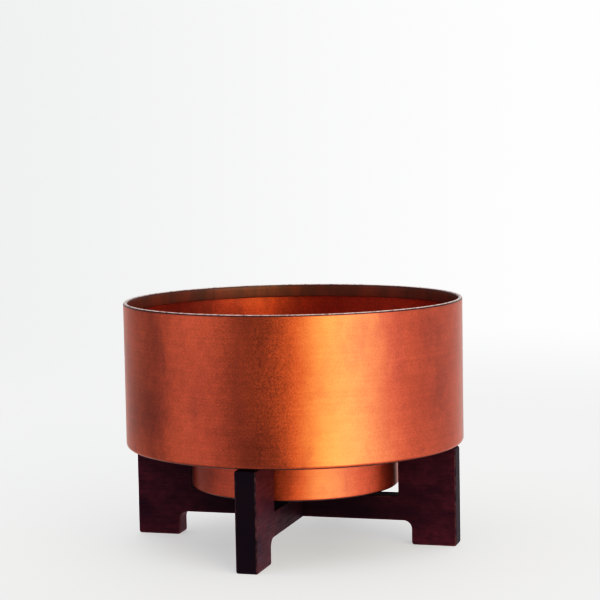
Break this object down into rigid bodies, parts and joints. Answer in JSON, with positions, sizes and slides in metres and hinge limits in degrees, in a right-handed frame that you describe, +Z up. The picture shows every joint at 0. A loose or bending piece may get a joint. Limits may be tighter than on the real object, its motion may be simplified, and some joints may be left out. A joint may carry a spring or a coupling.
{
  "type": "planter pot on a cross stand",
  "caption": "Round stepped metal planter pot, wide drum over a narrow base cup, carried by its shoulder on a low cross stand of interlocked wooden boards",
  "frame": {"origin": "on the floor, under the centre of the stand and on the pot's axis", "axes": "+Z up along the pot's axis; +X along the lower board, towards the right leg; -Y along the upper board, towards the front leg"},
  "size_m": [0.2032, 0.2032, 0.1459],
  "materials": {
    "drum_copper": "satin copper finish, fine metallic grain",
    "cup_copper": "satin copper finish, fine metallic grain",
    "plug_rubber": "matte black",
    "lower_board_wood": "satin espresso stain",
    "upper_board_wood": "satin espresso stain",
    "bumper_rubber": "matte dark"
  },
  "bodies": {
    "lower_board": {"lower_board": "lower_board_wood", "bumper_right": "bumper_rubber", "bumper_left": "bumper_rubber"},
    "upper_board": {"upper_board": "upper_board_wood", "bumper_front": "bumper_rubber", "bumper_rear": "bumper_rubber"},
    "pot": {"drum_shell": "drum_copper", "base_cup": "cup_copper"},
    "plug": {"drain_plug": "plug_rubber"}
  },
  "joints": [
    {"name": "upper_board_lift", "type": "slide", "parent": "lower_board", "child": "upper_board", "axis": [0, 0, 1], "range_m": [0, 0.022]},
    {"name": "pot_lift", "type": "slide", "parent": "upper_board", "child": "pot", "axis": [0, 0, 1], "range_m": [0, 0.05]},
    {"name": "plug_pull", "type": "slide", "parent": "pot", "child": "plug", "axis": [0, 0, 1], "range_m": [0, 0.03]}
  ]
}
